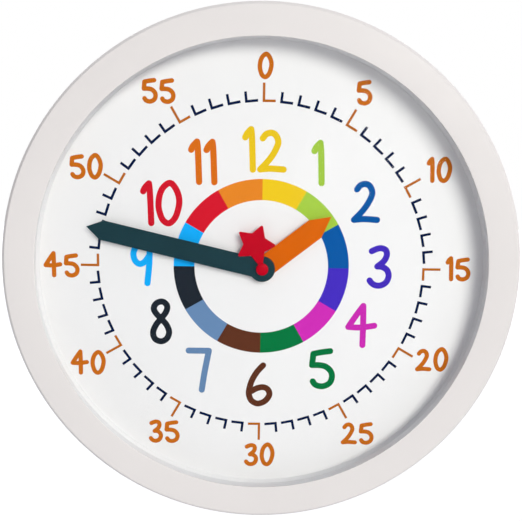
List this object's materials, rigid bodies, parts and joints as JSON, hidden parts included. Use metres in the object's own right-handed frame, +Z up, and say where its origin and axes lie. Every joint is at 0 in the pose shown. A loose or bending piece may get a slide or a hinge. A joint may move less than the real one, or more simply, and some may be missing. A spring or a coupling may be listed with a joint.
{
  "type": "wall clock",
  "caption": "Round battery wall clock for learning the time: wide plain rim, flat clear lens, numbered dial with a colour ring, hour, minute and second hands, quartz movement at the back.",
  "frame": {"origin": "the hanging point: centre of the nail at the top of the hanger plate's keyhole slot, in the plane of the wall", "axes": "+Z up, towards 12 on the dial; +Y into the wall, so the dial faces -Y; +X towards 3 on the dial"},
  "size_m": [0.3, 0.04, 0.3],
  "materials": {
    "case_plastic": "satin",
    "lens_clear": "polished",
    "dial_print": "matte",
    "plate_plastic": "satin",
    "screw_steel": "satin",
    "hanger_steel": "satin",
    "gasket_rubber": "matte",
    "movement_plastic": "satin",
    "bush_brass": "satin",
    "hand_orange": "satin",
    "hand_teal": "satin",
    "hand_red": "satin",
    "wheel_plastic": "satin",
    "rotor_ferrite": "matte",
    "core_steel": "satin",
    "copper_wire": "gloss",
    "board_laminate": "satin",
    "chip_resin": "satin",
    "crystal_can": "satin",
    "contact_nickel": "satin",
    "cell_sleeve": "gloss"
  },
  "bodies": {
    "case": {"front_case": "case_plastic", "lens": "lens_clear", "dial_card": "dial_print", "dial_plate": "plate_plastic", "plate_screw_1": "screw_steel", "plate_screw_2": "screw_steel", "plate_screw_3": "screw_steel", "plate_screw_4": "screw_steel", "plate_screw_5": "screw_steel", "plate_screw_6": "screw_steel", "hanger_plate": "hanger_steel", "hanger_screw_left": "screw_steel", "hanger_screw_right": "screw_steel", "movement_gasket": "gasket_rubber", "movement_front_case": "movement_plastic", "movement_back_case": "movement_plastic", "shaft_bush": "bush_brass", "bush_washer": "bush_brass", "bush_nut": "bush_brass", "train_bridge": "movement_plastic", "stator_plate": "core_steel", "coil_core": "core_steel", "coil_bobbin": "wheel_plastic", "coil_winding": "copper_wire", "circuit_board": "board_laminate", "circuit_chip": "chip_resin", "quartz_crystal": "crystal_can", "contact_positive": "contact_nickel", "contact_negative": "contact_nickel"},
    "minute_train": {"centre_wheel": "wheel_plastic", "cannon_pinion": "wheel_plastic", "minute_hand": "hand_teal"},
    "hour_train": {"hour_wheel": "wheel_plastic", "hour_hand": "hand_orange"},
    "seconds_train": {"seconds_wheel": "wheel_plastic", "second_hand": "hand_red"},
    "third": {"third_wheel": "wheel_plastic"},
    "motion": {"motion_wheel": "wheel_plastic"},
    "intermediate": {"intermediate_wheel": "wheel_plastic"},
    "rotor": {"rotor_pinion": "wheel_plastic", "rotor_magnet": "rotor_ferrite"},
    "setting": {"setting_knob": "movement_plastic"},
    "battery": {"battery_cell": "cell_sleeve"}
  },
  "joints": [
    {"name": "minute_hand_turn", "type": "hinge", "parent": "case", "child": "minute_train", "pos_m": [0, -0.02, -0.096], "axis": [0, 1, 0], "continuous": true},
    {"name": "hour_hand_turn", "type": "hinge", "parent": "case", "child": "hour_train", "pos_m": [0, -0.02, -0.096], "axis": [0, 1, 0], "continuous": true},
    {"name": "second_hand_turn", "type": "hinge", "parent": "case", "child": "seconds_train", "pos_m": [0, -0.02, -0.096], "axis": [0, 1, 0], "continuous": true},
    {"name": "third_wheel_turn", "type": "hinge", "parent": "case", "child": "third", "pos_m": [0.00702, -0.015, -0.08597], "axis": [0, 1, 0], "continuous": true},
    {"name": "motion_wheel_turn", "type": "hinge", "parent": "case", "child": "motion", "pos_m": [-0.00846, -0.018, -0.09908], "axis": [0, 1, 0], "continuous": true},
    {"name": "intermediate_wheel_turn", "type": "hinge", "parent": "case", "child": "intermediate", "pos_m": [-0.00707, -0.012, -0.09192], "axis": [0, 1, 0], "continuous": true},
    {"name": "rotor_turn", "type": "hinge", "parent": "case", "child": "rotor", "pos_m": [-0.01386, -0.011, -0.088], "axis": [0, 1, 0], "continuous": true},
    {"name": "setting_knob_turn", "type": "hinge", "parent": "case", "child": "setting", "pos_m": [-0.01715, -0.01, -0.09675], "axis": [0, 1, 0], "continuous": true},
    {"name": "battery_lift", "type": "slide", "parent": "case", "child": "battery", "axis": [0, 1, 0], "range_m": [0, 0.025]}
  ],
  "couplings": [
    {"joint": "hour_hand_turn", "follows": "minute_hand_turn", "ratio": 0.083333},
    {"joint": "second_hand_turn", "follows": "minute_hand_turn", "ratio": 60},
    {"joint": "third_wheel_turn", "follows": "minute_hand_turn", "ratio": -8},
    {"joint": "motion_wheel_turn", "follows": "minute_hand_turn", "ratio": -0.33333},
    {"joint": "intermediate_wheel_turn", "follows": "minute_hand_turn", "ratio": -300},
    {"joint": "rotor_turn", "follows": "minute_hand_turn", "ratio": 1800},
    {"joint": "setting_knob_turn", "follows": "minute_hand_turn", "ratio": 1}
  ]
}
